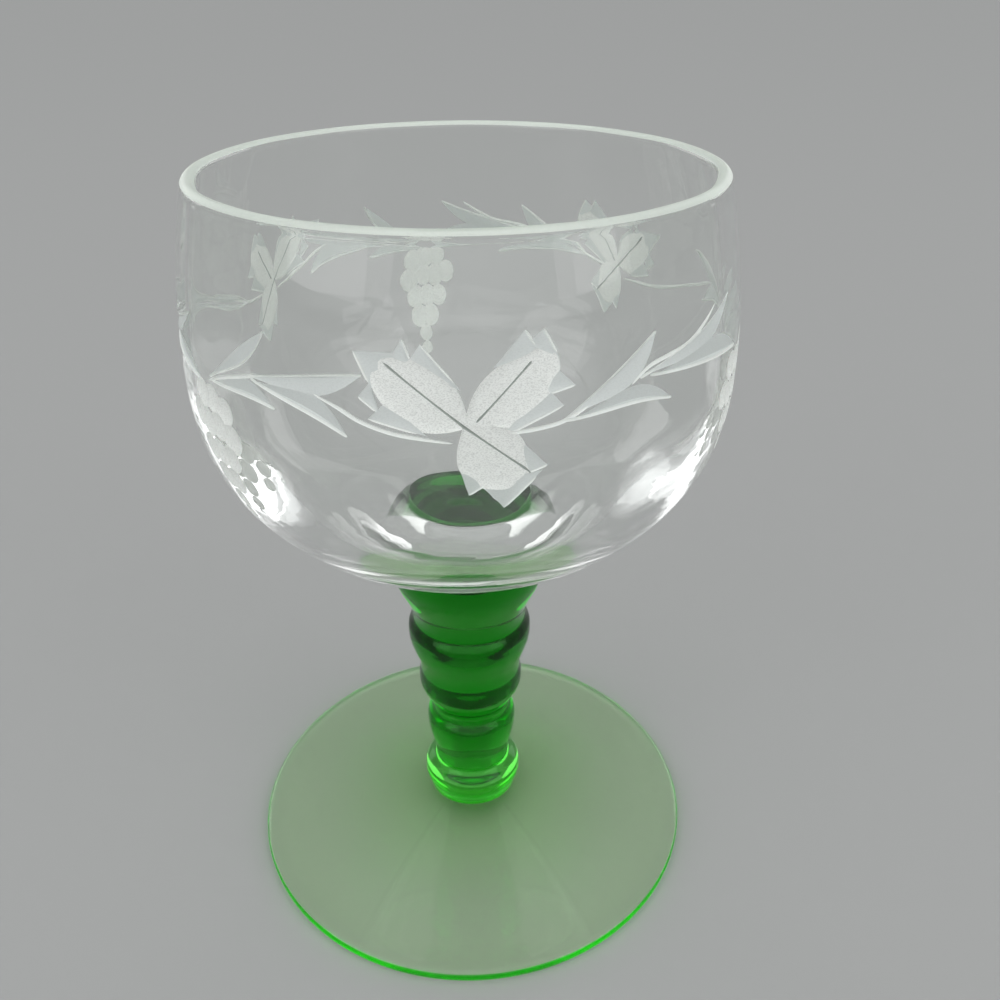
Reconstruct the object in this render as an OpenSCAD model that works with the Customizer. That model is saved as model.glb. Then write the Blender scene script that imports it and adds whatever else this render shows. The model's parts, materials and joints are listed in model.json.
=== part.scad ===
// Roemer wine glass: a clear blown bowl on a solid ringed green stem, a collar and a round foot.
// Millimetres. The foot stands on z = 0 and the stem's axis is Z.

/* [Foot] */
// Diameter of the foot
foot_d = 91.7; // [75:0.1:110]
// Thickness of the foot's rounded edge
foot_edge_t = 2.6; // [1.8:0.1:4]
// Diameter of the flat hub that carries the collar
hub_d = 18.6; // [15:0.1:24]
// Height of the hub above the table
hub_h = 7.5; // [5.5:0.1:11]
// How fast the foot's top falls away from the hub, where 1 is a straight cone
foot_sweep = 1.6; // [1:0.05:2.5]
// Width of the flat ring that the foot rests on, in from its rounded edge
rest_w = 4.5; // [2:0.1:8]
// Depth of the hollow under the foot
hollow_h = 2; // [0.5:0.1:3]

/* [Collar] */
// Widest diameter of the collar between stem and foot
collar_d = 20.5; // [18:0.1:26]
// Height of the collar
collar_h = 8.2; // [5:0.1:12]
// Height of the collar's widest line, as a share of its height
collar_peak = 0.45; // [0.3:0.05:0.7]

/* [Stem] */
// Diameter of each stem ring, from the lowest to the highest
ring_d = [18.6, 21.2, 24.6, 29.7]; // [16:0.1:36]
// Height of each stem ring, from the lowest to the highest
ring_h = [13.7, 10.3, 13.2, 17.1]; // [8:0.1:24]
// Diameter of the waist under each ring, from the lowest to the highest
waist_d = [15.6, 15.9, 20.4, 22.4]; // [10:0.1:25]
// Height of a ring's widest line, as a share of its height
ring_peak = 0.7; // [0.5:0.05:0.8]
// Fullness of a ring's shoulder, where a higher number gives a fuller shoulder and a tighter waist
ring_shoulder = 1.8; // [1:0.1:3]

/* [Bowl] */
// Diameter of the flat pad where the bowl sits on the stem
seat_d = 25.7; // [18:0.1:28]
// Height of the bowl from its pad to its rim
bowl_h = 69; // [60:0.1:85]
// Widest outer diameter of the bowl
belly_d = 91.7; // [80:0.1:110]
// Height of the widest line above the pad
belly_h = 39; // [30:0.1:48]
// Outer diameter at the rim
rim_d = 83.5; // [70:0.1:100]
// Thickness of the wall at the belly
wall_t = 2.3; // [1.6:0.1:4]
// Thickness of the wall at the rim
rim_t = 2.3; // [1.4:0.1:4]
// Thickness of the bowl's heavy floor over the stem
floor_t = 9; // [4:0.1:12]
// Diameter of the flat middle of the floor, inside
floor_d = 33.5; // [20:0.1:38]
// Fullness of the curve at the pad, where a higher number leaves the pad more steeply
pad_curve = 1.54; // [1:0.02:2]
// Fullness of the curve at the belly, where a lower number gives a rounder shoulder
belly_curve = 0.83; // [0.6:0.01:1.2]
// Fullness of the inside curve at the floor, where a higher number leaves the floor more steeply
floor_curve = 0.9; // [0.8:0.02:1.6]
// Fullness of the inside curve at the belly, where a lower number gives a rounder hollow
hollow_curve = 1.2; // [0.8:0.01:1.4]

/* [Hidden] */
$fn = 96;
clear_glass = [0.88, 0.93, 0.9, 0.45];
stem_green = [0.02, 0.42, 0.05];
collar_green = [0.2, 0.62, 0.2];
foot_green = [0.55, 0.72, 0.55, 0.7];
// Heights at which the pieces meet
collar_z = hub_h;
stem_z = collar_z + collar_h;
bowl_z = stem_z + ring_total(len(ring_h));
// Steps along one curve
curve_steps = 28;
ring_steps = 20;
edge_steps = 8;

// Height of the first count rings together
function ring_total(count) = count == 0 ? 0 : ring_h[count - 1] + ring_total(count - 1);

// Radius at share t of a ring's height: it swells softly from the waist below out to its widest line,
// then turns in over a round shoulder and runs smoothly into the waist above
function ring_r(t, low_r, high_r, wide_r, peak) =
    t < peak
        ? low_r + (wide_r - low_r) * (1 - cos(180 * t / peak)) / 2
        : high_r + (wide_r - high_r) * pow(cos(90 * pow((t - peak) / (1 - peak), ring_shoulder)), 2);

// Points up the outside of one ring, without its top point
function ring_side(z, h, low_r, high_r, wide_r, peak) =
    [for (k = [0 : ring_steps - 1]) let (t = k / ring_steps)
        [ring_r(t, low_r, high_r, wide_r, peak), z + h * t]];

// Points of the bowl's lower curve, from a flat of radius flat_r at low_z out to wide_r at wide_z
function bowl_quarter(flat_r, low_z, wide_r, wide_z, flat_curve, wide_curve) =
    [for (k = [0 : curve_steps]) let (a = 90 * k / curve_steps)
        [flat_r + (wide_r - flat_r) * pow(sin(a), flat_curve),
            wide_z - (wide_z - low_z) * pow(cos(a), wide_curve)]];

// Points of the bowl's side from the belly up to end_z, on a curve that leans in by lean at rim_z
function bowl_side(wide_r, wide_z, lean, rim_z, end_z) =
    [for (k = [1 : curve_steps]) let (z = wide_z + (end_z - wide_z) * k / curve_steps)
        [wide_r - lean * pow((z - wide_z) / (rim_z - wide_z), 2), z]];

// The same points in the other order
function reversed(points) = [for (k = [len(points) - 1 : -1 : 0]) points[k]];

module foot() {
    foot_r = foot_d / 2;
    edge_r = foot_edge_t / 2;
    edge_in_r = foot_r - edge_r;
    hollow_r = edge_in_r - rest_w;
    hollow = [for (k = [0 : curve_steps]) let (r = hollow_r * k / curve_steps)
        [r, hollow_h * (1 - pow(r / hollow_r, 2))]];
    edge = [for (k = [0 : edge_steps]) let (a = -90 + 180 * k / edge_steps)
        [edge_in_r + edge_r * cos(a), edge_r + edge_r * sin(a)]];
    top = [for (k = [1 : curve_steps]) let (share = k / curve_steps)
        [edge_in_r - (edge_in_r - hub_d / 2) * share,
            foot_edge_t + (hub_h - foot_edge_t) * pow(share, foot_sweep)]];
    color(foot_green)
    rotate_extrude()
        polygon(concat(hollow, edge, top, [[0, hub_h]]));
}

module collar() {
    side = ring_side(collar_z, collar_h, hub_d / 2, waist_d[0] / 2, collar_d / 2, collar_peak);
    color(collar_green)
    rotate_extrude()
        polygon(concat([[0, collar_z]], side, [[waist_d[0] / 2, stem_z], [0, stem_z]]));
}

module stem() {
    ends_r = concat(waist_d, [seat_d]) / 2;
    sides = [for (i = [0 : len(ring_h) - 1])
        let (z = stem_z + ring_total(i))
        each ring_side(z, ring_h[i], ends_r[i], ends_r[i + 1], ring_d[i] / 2, ring_peak)];
    color(stem_green)
    rotate_extrude()
        polygon(concat([[0, stem_z]], sides, [[seat_d / 2, bowl_z], [0, bowl_z]]));
}

module bowl() {
    belly_r = belly_d / 2;
    belly_z = bowl_z + belly_h;
    rim_z = bowl_z + bowl_h;
    rim_r = rim_d / 2;
    inner_r = belly_r - wall_t;
    lip_h = rim_t / 2;
    lip_z = rim_z - lip_h;
    outside = concat(
        bowl_quarter(seat_d / 2, bowl_z, belly_r, belly_z, pad_curve, belly_curve),
        bowl_side(belly_r, belly_z, belly_r - rim_r, rim_z, lip_z));
    inside = concat(
        bowl_quarter(floor_d / 2, bowl_z + floor_t, inner_r, belly_z, floor_curve, hollow_curve),
        bowl_side(inner_r, belly_z, inner_r - (rim_r - rim_t), rim_z, lip_z));
    lip_out_r = outside[len(outside) - 1][0];
    lip_in_r = inside[len(inside) - 1][0];
    lip = [for (k = [1 : edge_steps - 1]) let (a = 180 * k / edge_steps)
        [(lip_out_r + lip_in_r) / 2 + (lip_out_r - lip_in_r) / 2 * cos(a), lip_z + lip_h * sin(a)]];
    color(clear_glass)
    rotate_extrude()
        polygon(concat([[0, bowl_z]], outside, lip, reversed(inside), [[0, bowl_z + floor_t]]));
}

foot();
collar();
stem();
bowl();
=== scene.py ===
"""Roemer wine glass: a clear, engraved bowl on a ringed green stem, a collar and a round foot."""
import bisect
import json
import math

import bpy
from mathutils import Matrix, Vector

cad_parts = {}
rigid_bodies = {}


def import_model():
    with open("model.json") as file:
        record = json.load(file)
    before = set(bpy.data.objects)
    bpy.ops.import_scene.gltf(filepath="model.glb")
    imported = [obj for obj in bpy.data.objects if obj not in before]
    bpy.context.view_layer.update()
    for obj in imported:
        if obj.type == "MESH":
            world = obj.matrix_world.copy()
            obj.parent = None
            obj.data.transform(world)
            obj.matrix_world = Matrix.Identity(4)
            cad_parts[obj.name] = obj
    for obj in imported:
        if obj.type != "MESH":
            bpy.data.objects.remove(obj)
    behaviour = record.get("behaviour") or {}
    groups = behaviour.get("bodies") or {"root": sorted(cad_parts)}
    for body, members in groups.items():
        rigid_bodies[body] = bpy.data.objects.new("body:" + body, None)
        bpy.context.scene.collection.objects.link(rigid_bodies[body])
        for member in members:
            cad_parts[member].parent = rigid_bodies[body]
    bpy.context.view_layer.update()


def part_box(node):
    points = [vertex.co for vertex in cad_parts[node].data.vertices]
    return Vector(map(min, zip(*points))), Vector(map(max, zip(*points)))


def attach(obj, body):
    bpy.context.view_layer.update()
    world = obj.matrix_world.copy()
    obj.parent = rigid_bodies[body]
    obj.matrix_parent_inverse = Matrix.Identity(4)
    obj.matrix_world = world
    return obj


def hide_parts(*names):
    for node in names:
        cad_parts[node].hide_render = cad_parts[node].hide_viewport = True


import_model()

MM = 0.001
FULL_TURN = 2 * math.pi

# Where the pieces sit, from the frame
foot_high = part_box("foot")[1]
collar_low, collar_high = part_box("collar")
stem_low, stem_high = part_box("stem")
bowl_low, bowl_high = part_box("bowl")

# Foot
FOOT_R = foot_high.x
FOOT_EDGE_T = 2.6 * MM
HUB_R = 9.3 * MM
HUB_Z = foot_high.z
FOOT_SWEEP = 1.6
REST_W = 4.5 * MM
HOLLOW_H = 2 * MM

# Collar
COLLAR_R = collar_high.x
COLLAR_PEAK = 0.45

# Stem, from the lowest ring to the highest
RING_D = [18.6 * MM, 21.2 * MM, 24.6 * MM, 29.7 * MM]
RING_H = [13.7 * MM, 10.3 * MM, 13.2 * MM, 17.1 * MM]
WAIST_D = [15.6 * MM, 15.9 * MM, 20.4 * MM, 22.4 * MM]
RING_PEAK = 0.7
RING_SHOULDER = 1.8

# Bowl
SEAT_R = 12.85 * MM
BELLY_R = bowl_high.x
BELLY_H = 39 * MM
BELLY_Z = bowl_low.z + BELLY_H
RIM_Z = bowl_high.z
RIM_R = 41.75 * MM
WALL_T = 2.3 * MM
RIM_T = 2.3 * MM
FLOOR_T = 9 * MM
FLOOR_R = 16.75 * MM
PAD_CURVE = 1.54
BELLY_CURVE = 0.83
FLOOR_CURVE = 0.9
HOLLOW_CURVE = 1.2
INNER_R = BELLY_R - WALL_T
LEAN = BELLY_R - RIM_R
INNER_LEAN = INNER_R - (RIM_R - RIM_T)
LIP_H = RIM_T / 2
LIP_Z = RIM_Z - LIP_H
# The lip's top, above this share of its height, gets a softly rough finish whose pale colour is painted
# glow
LIP_GLOW_FROM = 0.5

# Optic panels, the soft flutes on the inside of the bowl
PANELS = 12
PANEL_DEPTH = 0.19 * MM
PANEL_TURN = math.radians(11.7)
PANEL_START_Z = 88 * MM
PANEL_FULL_Z = 110 * MM

# The pieces were fused hot, so the collar and the stem reach this far into their neighbours
FUSED_DEPTH = 0.02 * MM

# Fineness of the turned surfaces
BOWL_STEPS = 240
GREEN_STEPS = 180
CURVE_POINTS = 44
SIDE_POINTS = 30
LIP_POINTS = 14
RING_POINTS = 26
EDGE_POINTS = 14

# Points closer than this are one point, on a turned piece and on a cutter
MERGE_WITHIN = 0.0005 * MM
CUTTER_MERGE_WITHIN = 0.0001 * MM

# Corners sharper than this stay crisp, on the green pieces and on the engraved bowl
CREASE = math.radians(30)
CUT_CREASE = math.radians(24)

# The bowl's finishes, in order: the clear glass, the lip's painted glow and then the cuts
LIP_GLOW_FINISH = 1
FIRST_CUT = 2


# Profiles, as (radius, height) points

def ring_radius(share, low_r, high_r, wide_r, peak):
    """Radius of a ring at a share of its height: a soft swell, then a round shoulder."""
    if share < peak:
        return low_r + (wide_r - low_r) * (1 - math.cos(math.pi * share / peak)) / 2
    over = ((share - peak) / (1 - peak)) ** RING_SHOULDER
    return high_r + (wide_r - high_r) * math.cos(math.pi / 2 * over) ** 2


def ring_side(z, height, low_r, high_r, wide_r, peak):
    """Points up one ring, without its top point."""
    shares = [k / RING_POINTS for k in range(RING_POINTS)]
    return [(ring_radius(s, low_r, high_r, wide_r, peak), z + height * s) for s in shares]


def foot_profile():
    """From the middle of the hollow underneath, round the edge and up to the hub."""
    edge_r = FOOT_EDGE_T / 2
    edge_in_r = FOOT_R - edge_r
    hollow_r = edge_in_r - REST_W
    points = []
    for k in range(CURVE_POINTS + 1):
        share = k / CURVE_POINTS
        points.append((hollow_r * share, HOLLOW_H * (1 - share ** 2)))
    for k in range(EDGE_POINTS + 1):
        angle = -math.pi / 2 + math.pi * k / EDGE_POINTS
        points.append((edge_in_r + edge_r * math.cos(angle), edge_r + edge_r * math.sin(angle)))
    for k in range(1, CURVE_POINTS + 1):
        share = k / CURVE_POINTS
        rise = (HUB_Z - FOOT_EDGE_T) * share ** FOOT_SWEEP
        points.append((edge_in_r - (edge_in_r - HUB_R) * share, FOOT_EDGE_T + rise))
    points.append((0, HUB_Z))
    return points


def collar_profile():
    """A ring that swells out from the foot's hub and turns in to the stem."""
    bottom = collar_low.z
    top = collar_high.z
    waist_r = WAIST_D[0] / 2
    points = [(0, bottom - FUSED_DEPTH), (HUB_R, bottom - FUSED_DEPTH)]
    points += ring_side(bottom, top - bottom, HUB_R, waist_r, COLLAR_R, COLLAR_PEAK)
    points += [(waist_r, top), (0, top)]
    return points


def stem_profile():
    """The stacked rings, each wider than the one below."""
    waist_r = [d / 2 for d in WAIST_D] + [SEAT_R]
    points = [(0, stem_low.z - FUSED_DEPTH), (waist_r[0], stem_low.z - FUSED_DEPTH)]
    z = stem_low.z
    for k, height in enumerate(RING_H):
        points += ring_side(z, height, waist_r[k], waist_r[k + 1], RING_D[k] / 2, RING_PEAK)
        z += height
    points += [(SEAT_R, stem_high.z + FUSED_DEPTH), (0, stem_high.z + FUSED_DEPTH)]
    return points


def bowl_quarter(flat_r, low_z, wide_r, flat_curve, belly_curve, count):
    """The bowl's lower curve, from a flat at the bottom out to the belly."""
    points = []
    for k in range(count + 1):
        angle = math.pi / 2 * k / count
        radius = flat_r + (wide_r - flat_r) * math.sin(angle) ** flat_curve
        drop = (BELLY_Z - low_z) * max(math.cos(angle), 0) ** belly_curve
        points.append((radius, BELLY_Z - drop))
    return points


def bowl_side(wide_r, lean, end_z, count):
    """The bowl's side above the belly, leaning in towards the rim."""
    points = []
    for k in range(1, count + 1):
        z = BELLY_Z + (end_z - BELLY_Z) * k / count
        points.append((wide_r - lean * ((z - BELLY_Z) / (RIM_Z - BELLY_Z)) ** 2, z))
    return points


def bowl_outside(curve_count, side_count):
    """Up the outside of the bowl, from its pad to the start of the lip."""
    lower = bowl_quarter(SEAT_R, bowl_low.z, BELLY_R, PAD_CURVE, BELLY_CURVE, curve_count)
    return lower + bowl_side(BELLY_R, LEAN, LIP_Z, side_count)


def bowl_profile():
    """Up the outside, over the round lip and down the inside."""
    outside = bowl_outside(CURVE_POINTS, SIDE_POINTS)
    floor_z = bowl_low.z + FLOOR_T
    inside = bowl_quarter(FLOOR_R, floor_z, INNER_R, FLOOR_CURVE, HOLLOW_CURVE, CURVE_POINTS)
    inside += bowl_side(INNER_R, INNER_LEAN, LIP_Z, SIDE_POINTS)
    lip_middle_r = (outside[-1][0] + inside[-1][0]) / 2
    lip_half = (outside[-1][0] - inside[-1][0]) / 2
    lip = []
    for k in range(1, LIP_POINTS):
        angle = math.pi * k / LIP_POINTS
        lip.append((lip_middle_r + lip_half * math.cos(angle), LIP_Z + LIP_H * math.sin(angle)))
    return [(0, bowl_low.z)] + outside + lip + inside[::-1] + [(0, floor_z)]


# Making the pieces

def pick(piece):
    """Selects one piece alone, for the operators that follow."""
    bpy.ops.object.select_all(action="DESELECT")
    bpy.context.view_layer.objects.active = piece
    piece.select_set(True)


def turned_piece(name, profile, steps):
    """Draws a profile point by point, then spins it round the axis into a closed piece."""
    bpy.ops.object.select_all(action="DESELECT")
    bpy.ops.mesh.primitive_plane_add(size=MM, location=(profile[0][0], 0, profile[0][1]))
    piece = bpy.context.object
    piece.name = name
    piece.data.name = name
    bpy.ops.object.transform_apply(location=True, rotation=True, scale=True)
    bpy.ops.object.mode_set(mode="EDIT")
    bpy.ops.mesh.select_mode(type="VERT")
    bpy.ops.mesh.select_all(action="SELECT")
    bpy.ops.mesh.merge(type="CENTER")
    for (r, z), (next_r, next_z) in zip(profile, profile[1:]):
        step = (next_r - r, 0, next_z - z)
        bpy.ops.mesh.extrude_region_move(TRANSFORM_OT_translate={"value": step})
    bpy.ops.mesh.select_all(action="SELECT")
    bpy.ops.mesh.spin(steps=steps, angle=FULL_TURN, center=(0, 0, 0), axis=(0, 0, 1))
    bpy.ops.mesh.select_all(action="SELECT")
    bpy.ops.mesh.remove_doubles(threshold=MERGE_WITHIN)
    bpy.ops.mesh.normals_make_consistent(inside=False)
    bpy.ops.object.mode_set(mode="OBJECT")
    return piece


def smooth_step(value, low, high):
    """Goes softly from 0 at low to 1 at high."""
    share = min(max((value - low) / (high - low), 0), 1)
    return share * share * (3 - 2 * share)


def outside_radius(z):
    """Radius of the bowl's outside at a height."""
    if z >= BELLY_Z:
        return BELLY_R - LEAN * ((z - BELLY_Z) / (RIM_Z - BELLY_Z)) ** 2
    cosine = min((BELLY_Z - z) / (BELLY_Z - bowl_low.z), 1) ** (1 / BELLY_CURVE)
    return SEAT_R + (BELLY_R - SEAT_R) * math.sqrt(1 - cosine ** 2) ** PAD_CURVE


def press_optic_panels(bowl):
    """Moves the inside of the wall in and out into soft upright panels."""
    for vertex in bowl.data.vertices:
        x, y, z = vertex.co
        radius = math.hypot(x, y)
        if z < PANEL_START_Z or radius < FLOOR_R:
            continue
        inward = min(max((outside_radius(z) - radius) / WALL_T, 0), 1)
        swing = math.cos(PANELS * (math.atan2(y, x) - PANEL_TURN))
        grow = smooth_step(z, PANEL_START_Z, PANEL_FULL_Z)
        scale = 1 - inward * grow * PANEL_DEPTH * swing / radius
        vertex.co.x = x * scale
        vertex.co.y = y * scale
    bowl.data.update()


def paint_lip_glow(bowl):
    """Gives the top of the lip its own finish, the second on the piece: a softly rough finish whose pale
    colour is painted glow, standing in for light carried round inside the lip.
    """
    for face in bowl.data.polygons:
        if face.center.z > LIP_Z + LIP_GLOW_FROM * LIP_H:
            face.material_index = LIP_GLOW_FINISH


# The engraving is laid out flat, in millimetres: across along the belly line, up along the wall

WALL_FINE = 400
wall_points = bowl_outside(WALL_FINE, WALL_FINE)
wall_up = [0.0]
for (r0, z0), (r1, z1) in zip(wall_points, wall_points[1:]):
    wall_up.append(wall_up[-1] + math.hypot(r1 - r0, z1 - z0))
belly_up = wall_up[WALL_FINE]
wall_up = [up - belly_up for up in wall_up]


def wall_place(up):
    """Radius, height and outward direction of the wall, up from the belly line along the wall."""
    low = min(max(bisect.bisect_right(wall_up, up) - 1, 0), len(wall_up) - 2)
    high = low + 1
    share = (up - wall_up[low]) / (wall_up[high] - wall_up[low])
    r0, z0 = wall_points[low]
    r1, z1 = wall_points[high]
    length = math.hypot(r1 - r0, z1 - z0)
    return r0 + (r1 - r0) * share, z0 + (z1 - z0) * share, (z1 - z0) / length, (r0 - r1) / length


def on_bowl(across, up, sunk):
    """The place on the bowl's outside of a point of the flat layout, sunk into the glass."""
    radius, height, out_r, out_z = wall_place(up * MM)
    angle = across * MM / BELLY_R
    radius -= sunk * MM * out_r
    height -= sunk * MM * out_z
    return radius * math.sin(angle), -radius * math.cos(angle), height


# Across a cut: its left edge is at -1, its deepest line at 0 and its right edge at 1
CUT_SHARES = (-1.15, -1.0, -0.8, -0.55, -0.28, 0.0, 0.28, 0.55, 0.8, 1.0, 1.15)
# How far a cutter stands out of the glass, and the least half width and depth of a cut
CUTTER_STAND = 0.8
LEAST_HALF = 0.02
LEAST_DEPTH = 0.01


def mixed(a, b, share):
    """The point at a share of the way from a to b."""
    return a[0] + (b[0] - a[0]) * share, a[1] + (b[1] - a[1]) * share


def station(left, deep, right, depth, scoop):
    """One closed ring of a cutter: its underside from left to right, then back above the glass."""
    depth = max(depth, LEAST_DEPTH)
    ring = []
    for share in CUT_SHARES:
        across, up = mixed(deep, left if share < 0 else right, abs(share))
        ring.append((across, up, depth * (1 - abs(share) ** scoop)))
    for share in (CUT_SHARES[-1], 0, CUT_SHARES[0]):
        across, up = mixed(deep, left if share < 0 else right, abs(share))
        ring.append((across, up, -CUTTER_STAND))
    ring.append(ring[0])
    return ring


def add_cutter(stations, finish, cutters):
    """Lofts a closed cutter through its stations, with the finish that its cut leaves."""
    columns = len(stations[0])
    bpy.ops.object.select_all(action="DESELECT")
    bpy.ops.mesh.primitive_grid_add(x_subdivisions=columns - 1, y_subdivisions=len(stations) - 1)
    cutter = bpy.context.object
    places = [on_bowl(*point) for ring in stations for point in ring]
    for vertex, place in zip(cutter.data.vertices, places):
        vertex.co = place
    bpy.ops.object.mode_set(mode="EDIT")
    bpy.ops.mesh.select_mode(type="VERT")
    bpy.ops.mesh.select_all(action="SELECT")
    bpy.ops.mesh.remove_doubles(threshold=CUTTER_MERGE_WITHIN)
    bpy.ops.mesh.fill_holes(sides=0)
    bpy.ops.mesh.normals_make_consistent(inside=False)
    bpy.ops.mesh.faces_shade_smooth()
    bpy.ops.object.mode_set(mode="OBJECT")
    cutter.data.materials.append(finish)
    keep_cutter(cutter, cutters)


def keep_cutter(cutter, cutters):
    """Moves a cutter out of the scene, to the other cutters."""
    for collection in list(cutter.users_collection):
        collection.objects.unlink(cutter)
    cutters.objects.link(cutter)


def left_of(start, end):
    """Unit direction to the left of a line from start to end."""
    dx = end[0] - start[0]
    dy = end[1] - start[1]
    length = math.hypot(dx, dy)
    return -dy / length, dx / length


def beside(point, side, distance):
    """The point that lies a distance to one side of another."""
    return point[0] + side[0] * distance, point[1] + side[1] * distance


def eased(count):
    """Shares from 0 to 1, closer together near both ends."""
    return [(1 - math.cos(math.pi * k / count)) / 2 for k in range(count + 1)]


def curve_through(points, per_span):
    """A smooth line through the points."""
    padded = [points[0]] + list(points) + [points[-1]]
    line = []
    for k in range(len(points) - 1):
        a, b, c, d = padded[k:k + 4]
        for j in range(per_span):
            t = j / per_span
            line.append(tuple(
                0.5 * (2 * q + (r - p) * t + (2 * p - 5 * q + 4 * r - s) * t ** 2
                       + (3 * q - p - 3 * r + s) * t ** 3)
                for p, q, r, s in zip(a, b, c, d)))
    line.append(tuple(points[-1]))
    return line


GROOVE_SCOOP = 1.4
RUN_OUT_ROUNDNESS = 0.5


def groove(line, width, depth, taper, finish, cutters):
    """A thin line cut along a path, running out to nothing over the taper's share at both ends."""
    stations = []
    last = len(line) - 1
    for k, point in enumerate(line):
        side = left_of(line[max(k - 1, 0)], line[min(k + 1, last)])
        share = k / last
        run_out = min(1, share / taper, (1 - share) / taper)
        run_out = max(run_out, 0) ** RUN_OUT_ROUNDNESS
        half = max(width / 2 * run_out, LEAST_HALF)
        left = beside(point, side, half)
        right = beside(point, side, -half)
        stations.append(station(left, point, right, depth * run_out, GROOVE_SCOOP))
    add_cutter(stations, finish, cutters)


def bulged(base, tip, bulge, fullest, shares):
    """An edge from base to tip that bulges to the left, most at its fullest share."""
    side = left_of(base, tip)
    power = math.log(0.5) / math.log(fullest)
    edge = []
    for share in shares:
        swell = bulge * math.sin(math.pi * share ** power)
        edge.append(beside(mixed(base, tip, share), side, swell))
    return edge


# A slim leaf is fullest at a share of its length, and deepest at a share of its width from its bright edge
LEAF_DEPTH = 0.4
LEAF_FULLEST = 0.62
LEAF_DEEPEST = 0.14
LEAF_SCOOP = 1.2
LEAF_END_ROUNDNESS = 0.5
LEAF_STATIONS = 26
EDGE_WIDTH = 0.48
EDGE_DEPTH = 0.5
EDGE_TAPER = 0.12


def slim_leaf(base, tip, bright_bulge, far_bulge, satin, bright_line, cutters):
    """A slim leaf: a satin facet that slopes down to one bright, deeper edge."""
    shares = eased(LEAF_STATIONS)
    bright = bulged(base, tip, bright_bulge, LEAF_FULLEST, shares)
    far = bulged(base, tip, far_bulge, LEAF_FULLEST, shares)
    stations = []
    for share, near_point, far_point in zip(shares, bright, far):
        if math.dist(near_point, far_point) < 2 * LEAST_HALF:
            side = left_of(base, tip)
            lean = math.copysign(2 * LEAST_HALF, far_bulge - bright_bulge)
            far_point = beside(near_point, side, lean)
        deep = mixed(near_point, far_point, LEAF_DEEPEST)
        depth = LEAF_DEPTH * max(math.sin(math.pi * share), 0) ** LEAF_END_ROUNDNESS
        stations.append(station(near_point, deep, far_point, depth, LEAF_SCOOP))
    add_cutter(stations, satin, cutters)
    groove(bright, EDGE_WIDTH, EDGE_DEPTH, EDGE_TAPER, bright_line, cutters)


# The blades of a vine leaf start a little past its middle, narrow there and grow blunt outside
BLADE_OVERLAP = 0.03
BLADE_NARROWNESS = 0.9
BLADE_BLUNTNESS = 0.5
BLADE_DEPTH = 0.42
BLADE_END_STEEPNESS = 0.3
BLADE_HOLLOW = 6
BLADE_STATIONS = 30
# A tooth starts under its blade, so its root lies before its corners
TOOTH_ROOT = -0.2
TOOTH_DEPTH = 0.26
TOOTH_DEEPEST = 0.6
TOOTH_SCOOP = 2
TOOTH_STATIONS = 10
TOOTH_EDGE_WIDTH = 0.35
TOOTH_EDGE_DEPTH = 0.22
TOOTH_EDGE_TAPER = 0.15
VEIN_WIDTH = 0.6
VEIN_DEPTH = 0.6
VEIN_TAPER = 0.05
VEIN_STATIONS = 20
TENDRIL_WIDTH = 0.65
TENDRIL_DEPTH = 0.35
TENDRIL_TAPER = 0.25
TENDRIL_SPAN_STATIONS = 8


def blade(base, end, left_half, right_half, frosted, cutters):
    """The matte, oval body of a vine leaf: narrow where it joins, blunt outside."""
    side = left_of(base, end)
    stations = []
    for share in eased(BLADE_STATIONS):
        round_off = max(math.sin(math.pi * share), 0)
        fullness = round_off ** (BLADE_NARROWNESS - BLADE_BLUNTNESS * share)
        middle = mixed(base, end, share)
        left = beside(middle, side, max(left_half * fullness, LEAST_HALF))
        right = beside(middle, side, -max(right_half * fullness, LEAST_HALF))
        depth = BLADE_DEPTH * round_off ** BLADE_END_STEEPNESS
        stations.append(station(left, middle, right, depth, BLADE_HOLLOW))
    add_cutter(stations, frosted, cutters)


def tooth(start, tip, end, satin, bright_line, cutters):
    """One pointed satin facet at a vine leaf's edge, with a bright line along its lower side."""
    stations = []
    for k in range(TOOTH_STATIONS + 1):
        share = TOOTH_ROOT + (1 - TOOTH_ROOT) * k / TOOTH_STATIONS
        left = mixed(start, tip, share)
        right = mixed(end, tip, share)
        if math.dist(left, right) < 2 * LEAST_HALF:
            side = left_of(mixed(start, end, 0.5), tip)
            left = beside(tip, side, LEAST_HALF)
            right = beside(tip, side, -LEAST_HALF)
        depth = TOOTH_DEPTH * min(1 - share, 1)
        deep = mixed(left, right, TOOTH_DEEPEST)
        stations.append(station(left, deep, right, depth, TOOTH_SCOOP))
    add_cutter(stations, satin, cutters)
    edge = [mixed(end, tip, k / TOOTH_STATIONS) for k in range(TOOTH_STATIONS + 1)]
    groove(edge, TOOTH_EDGE_WIDTH, TOOTH_EDGE_DEPTH, TOOTH_EDGE_TAPER, bright_line, cutters)


# How deep a berry is ground, as a share of its radius, and the fineness of the ball
BERRY_SINK = 0.2
BALL_SEGMENTS = 48
BALL_RINGS = 32


def berry(across, up, radius, frosted, cutters):
    """One grape: a shallow round hollow ground with a ball."""
    sink = radius * BERRY_SINK
    ball = (radius ** 2 + sink ** 2) / (2 * sink)
    bpy.ops.object.select_all(action="DESELECT")
    bpy.ops.mesh.primitive_uv_sphere_add(segments=BALL_SEGMENTS, ring_count=BALL_RINGS, radius=ball * MM)
    cutter = bpy.context.object
    centre = Vector(on_bowl(across, up, sink - ball))
    outward = centre - Vector(on_bowl(across, up, 0))
    turn = outward.to_track_quat("Z", "Y").to_matrix().to_4x4()
    cutter.data.transform(Matrix.Translation(centre) @ turn)
    bpy.ops.object.shade_smooth()
    cutter.data.materials.append(frosted)
    keep_cutter(cutter, cutters)


# One vine leaf group, from its middle: each blade's end and half widths, then the corners of its teeth

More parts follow.
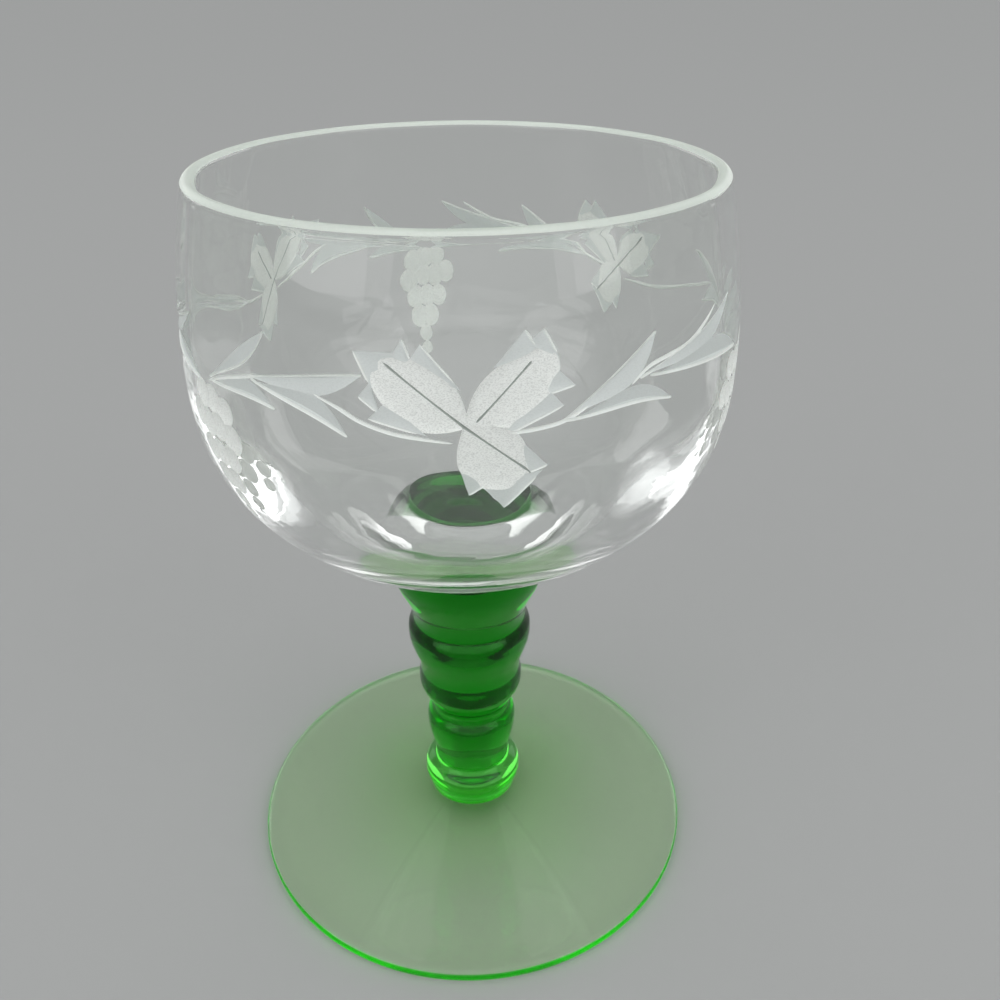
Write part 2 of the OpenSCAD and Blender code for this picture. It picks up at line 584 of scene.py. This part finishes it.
UPPER_LEFT = ((-11.9, 7.6), 4.3, 4.4, (
    ((-9.1, 9.4), (-14.5, 9.3), (-12.5, 5.4)),
    ((-9.4, 9.1), (-8.0, 11.2), (-7.0, 8.6)),
    ((-7.3, 8.2), (-5.7, 10.6), (-1.4, 5.7)),
    ((-12.6, 5.1), (-14.0, 3.4), (-11.6, 1.6)),
    ((-10.8, 2.5), (-12.8, 0.5), (-6.3, -1.1)),
))
UPPER_RIGHT = ((11.7, 8.9), 3.6, 4.6, (
    ((4.3, 8.3), (7.8, 12.1), (9.3, 9.7)),
    ((8.3, 10.6), (10.3, 12.0), (12.0, 8.8)),
    ((12.5, 6.3), (14.5, 4.3), (11.1, 3.6)),
    ((11.1, 3.8), (12.9, 1.8), (5.5, -1.3)),
))
LOWER = ((7.0, -8.9), 4.4, 4.9, (
    ((-1.1, -5.9), (0.1, -10.1), (2.6, -8.4)),
    ((2.0, -9.1), (4.8, -12.4), (9.2, -7.9)),
    ((6.8, -2.1), (10.7, -6.4), (8.2, -7.2)),
))
VEINS = (((-11.0, 8.4), (8.6, -7.4)), ((8.9, 8.2), (1.1, 0.1)))

# The sprigs that join a vine leaf group to its grapes, drawn for the reach to the bunch on that side:
# the tendril, the stalk, and each leaf's base, tip and the bulge of both edges
LEFT_REACH = 41.7
LEFT_TENDRIL = ((-1.8, -2.4), (-6.0, -1.8), (-9.9, -1.2), (-13.9, 0.0), (-16.9, 1.5), (-20.5, 2.9))
LEFT_STALK = ((-41.9, -0.3), (-37.8, 1.3), (-34.6, 2.2), (-30.5, 3.4), (-26.5, 3.9))
LEFT_LEAVES = (
    ((-32.4, 3.0), (-13.4, 6.2), 0.3, -2.4),
    ((-31.3, 2.9), (-15.8, -2.4), 0.5, 3.4),
    ((-40.9, 0.0), (-27.0, -0.5), 0.4, 2.9),
    ((-41.4, 0.4), (-28.5, 9.8), -1.6, 0.4),
)
RIGHT_REACH = 52.8
RIGHT_TENDRIL = ((4.6, -1.3), (8.2, -1.1), (11.6, -0.7), (13.7, -0.1), (16.6, 1.2))
RIGHT_STALK = ((23.1, 2.7), (26.2, 4.6), (30.1, 5.3), (34.5, 6.0), (38.5, 7.7), (41.7, 9.5))
RIGHT_LEAVES = (
    ((13.0, -0.3), (27.4, 9.1), 0.1, -2.9),
    ((13.0, -0.4), (30.6, -0.9), 0.8, 3.2),
    ((24.5, 3.3), (46.9, 9.7), -0.5, -3.0),
    ((26.3, 3.3), (51.0, 0.6), 0.0, 3.2),
)

# A bunch of grapes below its stalk: place and radius of each berry
BERRIES = (
    (3.0, -3.5, 2.1), (0.1, -2.6, 2.2), (-2.7, -2.5, 2.2),
    (3.9, -7.2, 2.35), (0.7, -6.3, 2.2), (-2.2, -6.6, 2.25), (-5.0, -6.0, 2.2),
    (2.6, -10.6, 2.3), (-0.2, -10.5, 2.25), (-3.0, -10.6, 2.2),
    (1.9, -14.4, 2.3), (-0.8, -14.4, 2.3),
    (0.7, -17.9, 1.75),
    (0.7, -20.8, 1.35),
)

# Where the three vine leaf groups sit, across, up and size, and the bunches, across, up, width and height
LEAF_GROUPS = ((0.2, 6.3, 1.0), (106.6, 4.6, 0.95), (-99.4, 4.4, 0.95))
BUNCHES = ((-41.5, 6.0, 1.1, 1.1), (53.0, 6.6, 1.1, 1.1), (-135.0, 5.8, 1.2, 1.1))
AROUND = FULL_TURN * BELLY_R / MM


def shifted(point, middle, scale, stretch):
    """A point of a motif at its place in the layout, scaled in height and stretched across."""
    return middle[0] + point[0] * stretch, middle[1] + point[1] * scale


def vine_leaves(middle, size, satin, frosted, bright_line, vein, cutters):
    """Three toothed blades that meet in the middle."""
    for end, left_half, right_half, teeth in (UPPER_LEFT, UPPER_RIGHT, LOWER):
        base = shifted((end[0] * -BLADE_OVERLAP, end[1] * -BLADE_OVERLAP), middle, size, size)
        outer = shifted(end, middle, size, size)
        blade(base, outer, left_half * size, right_half * size, frosted, cutters)
        for corners in teeth:
            corners = [shifted(corner, middle, size, size) for corner in corners]
            tooth(*corners, satin, bright_line, cutters)
    for start, end in VEINS:
        shares = [k / VEIN_STATIONS for k in range(VEIN_STATIONS + 1)]
        line = [shifted(mixed(start, end, share), middle, size, size) for share in shares]
        groove(line, VEIN_WIDTH, VEIN_DEPTH, VEIN_TAPER, vein, cutters)


def sprig(middle, tendril, stalk, leaves, stretch, satin, bright_line, cutters):
    """A tendril from the vine leaves, a stalk to the grapes and the slim leaves between them."""
    for path in (tendril, stalk):
        line = curve_through([shifted(p, middle, 1, stretch) for p in path], TENDRIL_SPAN_STATIONS)
        groove(line, TENDRIL_WIDTH, TENDRIL_DEPTH, TENDRIL_TAPER, bright_line, cutters)
    for base, tip, bright_bulge, far_bulge in leaves:
        base = shifted(base, middle, 1, stretch)
        tip = shifted(tip, middle, 1, stretch)
        slim_leaf(base, tip, bright_bulge, far_bulge, satin, bright_line, cutters)


def bunch(middle, width, height, frosted, cutters):
    """A bunch of grapes that hangs from the end of two stalks."""
    for across, up, radius in BERRIES:
        place = (middle[0] + across * width, middle[1] + up * height)
        berry(*place, radius * (width + height) / 2, frosted, cutters)


def engrave(bowl, satin, frosted, bright_line, vein):
    """Cuts the whole vine into the bowl with one Boolean, which leaves each cut its finish."""
    cutters = bpy.data.collections.new("engraving_cutters")
    bpy.context.scene.collection.children.link(cutters)
    bunch_places = [b[0] for b in BUNCHES]
    for across, up, size in LEAF_GROUPS:
        middle = (across, up)
        vine_leaves(middle, size, satin, frosted, bright_line, vein, cutters)
        left_room = min((across - b) % AROUND for b in bunch_places)
        right_room = min((b - across) % AROUND for b in bunch_places)
        sprig(middle, LEFT_TENDRIL, LEFT_STALK, LEFT_LEAVES, left_room / LEFT_REACH,
              satin, bright_line, cutters)
        sprig(middle, RIGHT_TENDRIL, RIGHT_STALK, RIGHT_LEAVES, right_room / RIGHT_REACH,
              satin, bright_line, cutters)
    for across, up, width, height in BUNCHES:
        bunch((across, up), width, height, frosted, cutters)
    pick(bowl)
    cut = bowl.modifiers.new("engraving", "BOOLEAN")
    cut.operation = "DIFFERENCE"
    cut.operand_type = "COLLECTION"
    cut.collection = cutters
    cut.solver = "MANIFOLD"
    cut.material_mode = "TRANSFER"
    bpy.ops.object.modifier_apply(modifier=cut.name)
    for cutter in list(cutters.objects):
        mesh = cutter.data
        bpy.data.objects.remove(cutter)
        bpy.data.meshes.remove(mesh)
    bpy.data.collections.remove(cutters)


def crisp_cut_edges(bowl):
    """Keeps the outline of every cut sharp beside the smooth glass."""
    pick(bowl)
    bpy.ops.object.shade_smooth_by_angle(angle=CUT_CREASE)
    bpy.ops.object.mode_set(mode="EDIT")
    bpy.ops.mesh.select_mode(type="FACE")
    for slot in range(FIRST_CUT, len(bowl.material_slots)):
        bpy.ops.mesh.select_all(action="DESELECT")
        bowl.active_material_index = slot
        bpy.ops.object.material_slot_select()
        bpy.ops.mesh.region_to_loop()
        bpy.ops.mesh.mark_sharp()
        bpy.ops.mesh.select_mode(type="FACE")
    bpy.ops.object.mode_set(mode="OBJECT")


# Finishes

GLASS_IOR = 1.5
CLEAR_TINT = (0.985, 0.995, 0.985, 1)
GREEN_TINT = (0.99, 0.998, 0.99, 1)

# The faint waves in worked glass: their stretch, how many there are in a metre and their height
CLEAR_WAVES = ((1, 1, 2.5), 70, 0.03 * MM)
GREEN_WAVES = ((1, 1, 2), 90, 0.02 * MM)
WAVE_DETAIL = 2

# The chips that a wheel leaves, drawn out sideways, and where their colour goes from the painted shade in
# the pits to the chip
CHIP_STRETCH = (1, 1, 2.2)
CHIP_DETAIL = 1
PIT_SHARE = 0.36
CHIP_SHARE = 0.54


def new_finish(name):
    """A new material and its shader, ready to set."""
    finish = bpy.data.materials.new(name)
    finish.use_nodes = True
    return finish, finish.node_tree.nodes["Principled BSDF"]


def uneven(finish, shader, stretch, scale, height):
    """The unevenness of a glass surface, as a bump in the piece's own space."""
    nodes = finish.node_tree.nodes
    links = finish.node_tree.links
    place = nodes.new("ShaderNodeTexCoord")
    mapping = nodes.new("ShaderNodeMapping")
    mapping.inputs["Scale"].default_value = stretch
    noise = nodes.new("ShaderNodeTexNoise")
    noise.inputs["Scale"].default_value = scale
    noise.inputs["Detail"].default_value = WAVE_DETAIL
    bump = nodes.new("ShaderNodeBump")
    bump.inputs["Strength"].default_value = 1
    bump.inputs["Distance"].default_value = height
    links.new(place.outputs["Object"], mapping.inputs["Vector"])
    links.new(mapping.outputs["Vector"], noise.inputs["Vector"])
    links.new(noise.outputs["Fac"], bump.inputs["Height"])
    links.new(bump.outputs["Normal"], shader.inputs["Normal"])
    return mapping


def polished_glass(name, tint, waves):
    """Smooth glass that light goes through, with its faint waves."""
    finish, shader = new_finish(name)
    shader.inputs["Base Color"].default_value = tint
    shader.inputs["Roughness"].default_value = 0
    shader.inputs["IOR"].default_value = GLASS_IOR
    shader.inputs["Transmission Weight"].default_value = 1
    uneven(finish, shader, *waves)
    return finish


def green_glass(name, colour, strength, gloss):
    """Glass coloured in the mass: the further light goes, the greener it gets."""
    finish = polished_glass(name, GREEN_TINT, GREEN_WAVES)
    nodes = finish.node_tree.nodes
    nodes["Principled BSDF"].inputs["Specular Tint"].default_value = (*gloss, 1)
    mass = nodes.new("ShaderNodeVolumeAbsorption")
    mass.inputs["Color"].default_value = (*colour, 1)
    mass.inputs["Density"].default_value = strength
    finish.node_tree.links.new(mass.outputs["Volume"], nodes["Material Output"].inputs["Volume"])
    return finish


def ground_glass(name, colour, pit_shade, see_through, roughness, grain, depth):
    """Glass ground by a wheel: a grain of fine chips that scatters the light, sized in millimetres."""
    finish, shader = new_finish(name)
    shader.inputs["IOR"].default_value = GLASS_IOR
    shader.inputs["Transmission Weight"].default_value = see_through
    shader.inputs["Roughness"].default_value = roughness
    chips_in_metre = 1 / (grain * MM)
    mapping = uneven(finish, shader, CHIP_STRETCH, chips_in_metre, depth * MM)
    nodes = finish.node_tree.nodes
    links = finish.node_tree.links
    # Painted shade: the mottle follows the bump's grain, so the colour is darker in the pits.
    mottle = nodes.new("ShaderNodeTexNoise")
    mottle.inputs["Scale"].default_value = chips_in_metre
    mottle.inputs["Detail"].default_value = CHIP_DETAIL
    shade = nodes.new("ShaderNodeValToRGB")
    pit, chip = shade.color_ramp.elements
    pit.position = PIT_SHARE
    pit.color = (*[c * pit_shade for c in colour], 1)
    chip.position = CHIP_SHARE
    chip.color = (*colour, 1)
    links.new(mapping.outputs["Vector"], mottle.inputs["Vector"])
    links.new(mottle.outputs["Fac"], shade.inputs["Fac"])
    links.new(shade.outputs["Color"], shader.inputs["Base Color"])
    return finish


def pale_green_foot_glass():
    return green_glass(
        "pale_green_foot_glass", colour=(0.34, 0.985, 0.05), strength=66, gloss=(0.7, 1, 0.7))


def green_collar_glass():
    return green_glass(
        "green_collar_glass", colour=(0.12, 0.88, 0.08), strength=180, gloss=(0.5, 1, 0.5))


def emerald_stem_glass():
    return green_glass(
        "emerald_stem_glass", colour=(0.1, 0.85, 0.1), strength=300, gloss=(0.4, 1, 0.4))


def clear_blown_glass():
    return polished_glass("clear_blown_glass", CLEAR_TINT, CLEAR_WAVES)


# Painted glow: the lip's pale colour stands in for the light that the glass carries round inside the lip,
# on a softly rough surface.
def lip_with_painted_glow():
    return ground_glass(
        "lip_with_painted_glow", (0.84, 0.9, 0.83),
        pit_shade=0.97, see_through=0.45, roughness=0.4, grain=0.5, depth=0.003)


def satin_cut():
    return ground_glass(
        "satin_cut", (0.73, 0.765, 0.755),
        pit_shade=0.94, see_through=0.35, roughness=0.5, grain=0.3, depth=0.006)


def frosted_cut():
    return ground_glass(
        "frosted_cut", (0.96, 0.975, 0.95),
        pit_shade=0.78, see_through=0.3, roughness=0.85, grain=0.24, depth=0.025)


def bright_line_cut():
    return ground_glass(
        "bright_line_cut", (0.9, 0.92, 0.9),
        pit_shade=0.95, see_through=0.25, roughness=0.7, grain=0.24, depth=0.006)


# Painted shade: the vein's dark grey colour makes the line dark, where a polished cut in clear glass has
# no colour of its own.
def vein_cut_painted_dark():
    return ground_glass(
        "vein_cut_painted_dark", (0.42, 0.45, 0.43),
        pit_shade=0.95, see_through=0.15, roughness=0.6, grain=0.5, depth=0.004)


# The glass, piece by piece

def green_piece(name, profile, glass):
    """A turned piece of green glass, smooth but for its creases."""
    piece = turned_piece(name, profile, GREEN_STEPS)
    piece.data.materials.append(glass)
    pick(piece)
    bpy.ops.object.shade_smooth_by_angle(angle=CREASE)
    return piece


def make_foot():
    return green_piece("foot_piece", foot_profile(), pale_green_foot_glass())


def make_collar():
    return green_piece("collar_piece", collar_profile(), green_collar_glass())


def make_stem():
    return green_piece("stem_piece", stem_profile(), emerald_stem_glass())


def make_bowl():
    """The blown bowl with its panels, its lip with painted glow and its engraving."""
    piece = turned_piece("bowl_piece", bowl_profile(), BOWL_STEPS)
    press_optic_panels(piece)
    piece.data.materials.append(clear_blown_glass())
    piece.data.materials.append(lip_with_painted_glow())
    paint_lip_glow(piece)
    engrave(piece, satin_cut(), frosted_cut(), bright_line_cut(), vein_cut_painted_dark())
    crisp_cut_edges(piece)
    return piece


def finish_piece(piece, node):
    """Ties a piece to the node that it stands for."""
    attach(piece, "root")
    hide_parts(node)


# Floor, light and camera

FLOOR_SIZE = 12
FLOOR_GAP = 0.05 * MM
FLOOR_GREY = 0.4
FLOOR_ROUGHNESS = 0.8


def lay_floor():
    """A plain, dull, pale floor just under the foot."""
    bpy.ops.object.select_all(action="DESELECT")
    bpy.ops.mesh.primitive_plane_add(size=FLOOR_SIZE, location=(0, 0, -FLOOR_GAP))
    floor = bpy.context.object
    floor.name = "floor"
    finish, shader = new_finish("pale_floor")
    shader.inputs["Base Color"].default_value = (FLOOR_GREY, FLOOR_GREY, FLOOR_GREY, 1)
    shader.inputs["Roughness"].default_value = FLOOR_ROUGHNESS
    shader.inputs["Specular IOR Level"].default_value = 0
    floor.data.materials.append(finish)


# The sky's strength by direction: dim behind the glass, bright above the front
SKY_COLOUR = (0.97, 0.99, 0.985, 1)
SKY_BRIGHT_TOWARDS = (0, -0.65, 0.76)
SKY_FADE_FROM = 0.1
SKY_FADE_TO = 0.95
SKY_DIM = 0.36
SKY_BRIGHT = 1.25


def soft_sky():
    """A soft sky that is brightest above the front and fades behind the glass."""
    world = bpy.data.worlds.new("studio")
    bpy.context.scene.world = world
    world.use_nodes = True
    nodes = world.node_tree.nodes
    links = world.node_tree.links
    sky = nodes["Background"]
    sky.inputs["Color"].default_value = SKY_COLOUR
    direction = nodes.new("ShaderNodeTexCoord")
    towards = nodes.new("ShaderNodeVectorMath")
    towards.operation = "DOT_PRODUCT"
    towards.inputs[1].default_value = SKY_BRIGHT_TOWARDS
    fade = nodes.new("ShaderNodeMapRange")
    fade.interpolation_type = "SMOOTHSTEP"
    fade.inputs["From Min"].default_value = SKY_FADE_FROM
    fade.inputs["From Max"].default_value = SKY_FADE_TO
    fade.inputs["To Min"].default_value = SKY_DIM
    fade.inputs["To Max"].default_value = SKY_BRIGHT
    links.new(direction.outputs["Generated"], towards.inputs[0])
    links.new(towards.outputs["Value"], fade.inputs["Value"])
    links.new(fade.outputs["Result"], sky.inputs["Strength"])


# The lamps stand in pairs, given here for the right side, and point at the middle of the glass
SIDES = (("left", -1), ("right", 1))
GLASS_MIDDLE = (0, 0, 0.08)
SOFTBOX_PLACE = (1.25, -1.0, 0.75)
SOFTBOX_WIDTH = 1.0
SOFTBOX_HEIGHT = 1.2
SOFTBOX_POWER = 3.6
BACK_LIGHT_PLACE = (0.64, 0.77, 0.25)
BACK_LIGHT_SPREAD = math.radians(40)
BACK_LIGHT_STRENGTH = 0.4


def add_lamp(kind, name, right_place, side):
    """A new lamp on one side, turned to the glass."""
    place = Vector((side * right_place[0], right_place[1], right_place[2]))
    bpy.ops.object.light_add(type=kind, location=place)
    lamp = bpy.context.object
    lamp.name = name
    lamp.rotation_euler = (Vector(GLASS_MIDDLE) - place).to_track_quat("-Z", "Y").to_euler()
    return lamp


def softbox(name, side):
    """A large, soft lamp beside the front."""
    lamp = add_lamp("AREA", name, SOFTBOX_PLACE, side)
    lamp.data.shape = "RECTANGLE"
    lamp.data.size = SOFTBOX_WIDTH
    lamp.data.size_y = SOFTBOX_HEIGHT
    lamp.data.energy = SOFTBOX_POWER


def back_light(name, side):
    """A wide light so far off that it falls the same all over the floor."""
    lamp = add_lamp("SUN", name, BACK_LIGHT_PLACE, side)
    lamp.data.angle = BACK_LIGHT_SPREAD
    lamp.data.energy = BACK_LIGHT_STRENGTH


def light_studio():
    soft_sky()
    for side_name, side in SIDES:
        softbox(side_name + "_softbox", side)
    for side_name, side in SIDES:
        back_light(side_name + "_back_light", side)


# Light runs round inside the wall and the foot many times before it leaves, and it stays sharp in them
LIGHT_BOUNCES = 96
GLOSS_BLUR = 0


def set_light_paths():
    cycles = bpy.context.scene.cycles
    cycles.max_bounces = LIGHT_BOUNCES
    cycles.glossy_bounces = LIGHT_BOUNCES
    cycles.transmission_bounces = LIGHT_BOUNCES
    cycles.blur_glossy = GLOSS_BLUR


# Where the camera stands, and its tilt down, turn to the side and roll in radians
CAMERA_PLACE = (0, -155.5 * MM, 168 * MM)
CAMERA_TILT = math.radians(30.07)
CAMERA_TURN = 0.0405
CAMERA_ROLL = 0.0036
CAMERA_LENS = 34.42
SENSOR_WIDTH = 36
CAMERA_NEAR = 1 * MM
CAMERA_FAR = 50


def set_camera():
    """A camera at the photograph's viewing angle."""
    bpy.ops.object.camera_add(location=CAMERA_PLACE)
    camera = bpy.context.object
    camera.data.sensor_fit = "HORIZONTAL"
    camera.data.sensor_width = SENSOR_WIDTH
    camera.data.lens = CAMERA_LENS
    camera.data.clip_start = CAMERA_NEAR
    camera.data.clip_end = CAMERA_FAR
    turn = Matrix.Rotation(-CAMERA_TURN, 3, "Z")
    tilt = Matrix.Rotation(math.pi / 2 - CAMERA_TILT, 3, "X")
    roll = Matrix.Rotation(-CAMERA_ROLL, 3, "Z")
    camera.rotation_euler = (turn @ tilt @ roll).to_euler()
    bpy.context.scene.camera = camera


set_camera()
lay_floor()
light_studio()
set_light_paths()
bpy.context.scene.view_settings.view_transform = "Standard"

finish_piece(make_foot(), "foot")
finish_piece(make_collar(), "collar")
finish_piece(make_stem(), "stem")
finish_piece(make_bowl(), "bowl")
